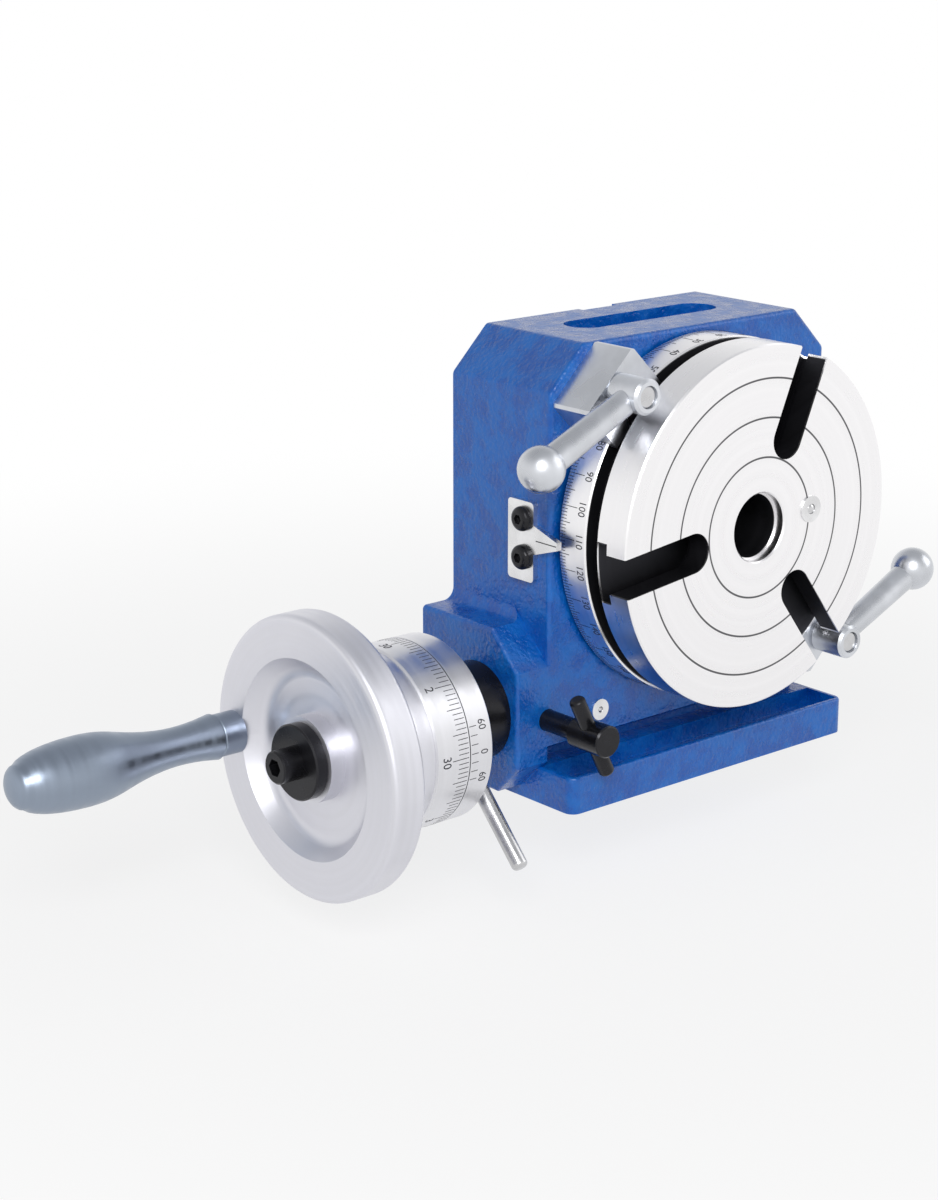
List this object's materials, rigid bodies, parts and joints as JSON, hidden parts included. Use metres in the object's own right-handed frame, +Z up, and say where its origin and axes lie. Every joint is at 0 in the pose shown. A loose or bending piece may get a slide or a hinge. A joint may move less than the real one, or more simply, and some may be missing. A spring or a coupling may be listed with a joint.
{
  "type": "rotary table",
  "caption": "Small horizontal and vertical rotary table: slotted round plate turned by a worm with a handwheel, on a cast body with two clamping levers and a swing-out worm sleeve.",
  "frame": {"origin": "on the foot's bottom face (Z = 0), under the table's axis (X = 0), on the plane of the rear base face (Y = 0)", "axes": "+X along the worm from the handwheel to the worm's end, +Y from the work face to the rear base face, +Z up from the foot"},
  "size_m": [0.2727, 0.081, 0.138],
  "materials": {
    "blue_paint": "glossy",
    "bronze": "satin",
    "gear_bronze": "satin",
    "black_oxide": "satin",
    "plate_steel": "satin",
    "block_steel": "satin",
    "ground_steel": "satin",
    "lever_steel": "satin",
    "oiler_brass": "satin",
    "ball_steel": "polished",
    "satin_chrome": "satin",
    "wheel_aluminium": "satin",
    "grip_metal": "satin"
  },
  "bodies": {
    "body": {"body_casting": "blue_paint", "table_bush": "bronze", "rear_cover": "blue_paint", "rear_cover_screws": "black_oxide", "rear_bush": "bronze", "index_plate": "plate_steel", "index_plate_screws": "black_oxide", "body_oiler": "oiler_brass", "body_oiler_ball": "ball_steel", "clamp_studs": "black_oxide", "clamp_block_1": "block_steel", "clamp_block_2": "block_steel", "sleeve_stop_screw": "black_oxide"},
    "table": {"table_plate": "ground_steel", "worm_wheel": "gear_bronze", "worm_wheel_screws": "black_oxide", "table_oiler": "oiler_brass", "table_oiler_ball": "ball_steel"},
    "sleeve": {"eccentric_sleeve": "black_oxide", "vernier_ring": "satin_chrome", "release_pin": "plate_steel", "worm_bushes": "bronze", "worm_thrust_plug": "block_steel"},
    "worm": {"worm_shaft": "block_steel", "handwheel": "wheel_aluminium", "handwheel_key": "block_steel", "handwheel_washer": "black_oxide", "handwheel_screw": "black_oxide", "handle_spindle": "plate_steel"},
    "grip": {"handle_grip": "grip_metal"},
    "dial": {"graduated_dial": "satin_chrome"},
    "clamp_1": {"clamp_nut_1": "lever_steel", "clamp_handle_1": "lever_steel"},
    "clamp_2": {"clamp_nut_2": "lever_steel", "clamp_handle_2": "lever_steel"},
    "lock": {"lock_screw": "black_oxide", "lock_bar": "plate_steel"}
  },
  "joints": [
    {"name": "table_turn", "type": "hinge", "parent": "body", "child": "table", "pos_m": [0, 0, 0.074], "axis": [0, 1, 0], "continuous": true},
    {"name": "sleeve_swing", "type": "hinge", "parent": "body", "child": "sleeve", "pos_m": [0, -0.0235, 0.0255], "axis": [1, 0, 0], "range_deg": [0, 70]},
    {"name": "worm_turn", "type": "hinge", "parent": "sleeve", "child": "worm", "pos_m": [0, -0.026, 0.0255], "axis": [1, 0, 0], "continuous": true},
    {"name": "grip_spin", "type": "hinge", "parent": "worm", "child": "grip", "pos_m": [0, 0.004, 0.0255], "axis": [1, 0, 0], "continuous": true},
    {"name": "dial_set", "type": "hinge", "parent": "worm", "child": "dial", "pos_m": [0, -0.026, 0.0255], "axis": [1, 0, 0], "continuous": true},
    {"name": "clamp_lever_1", "type": "hinge", "parent": "body", "child": "clamp_1", "pos_m": [-0.04101, -0.059, 0.11501], "axis": [0, -1, 0], "range_deg": [-70, 0]},
    {"name": "clamp_lever_2", "type": "hinge", "parent": "body", "child": "clamp_2", "pos_m": [0.04101, -0.059, 0.03299], "axis": [0, -1, 0], "range_deg": [-70, 0]},
    {"name": "lock_turn", "type": "hinge", "parent": "body", "child": "lock", "pos_m": [-0.0525, -0.057, 0.024], "axis": [0, -1, 0], "range_deg": [0, 90]}
  ],
  "couplings": [
    {"joint": "worm_turn", "follows": "table_turn", "ratio": 90}
  ]
}
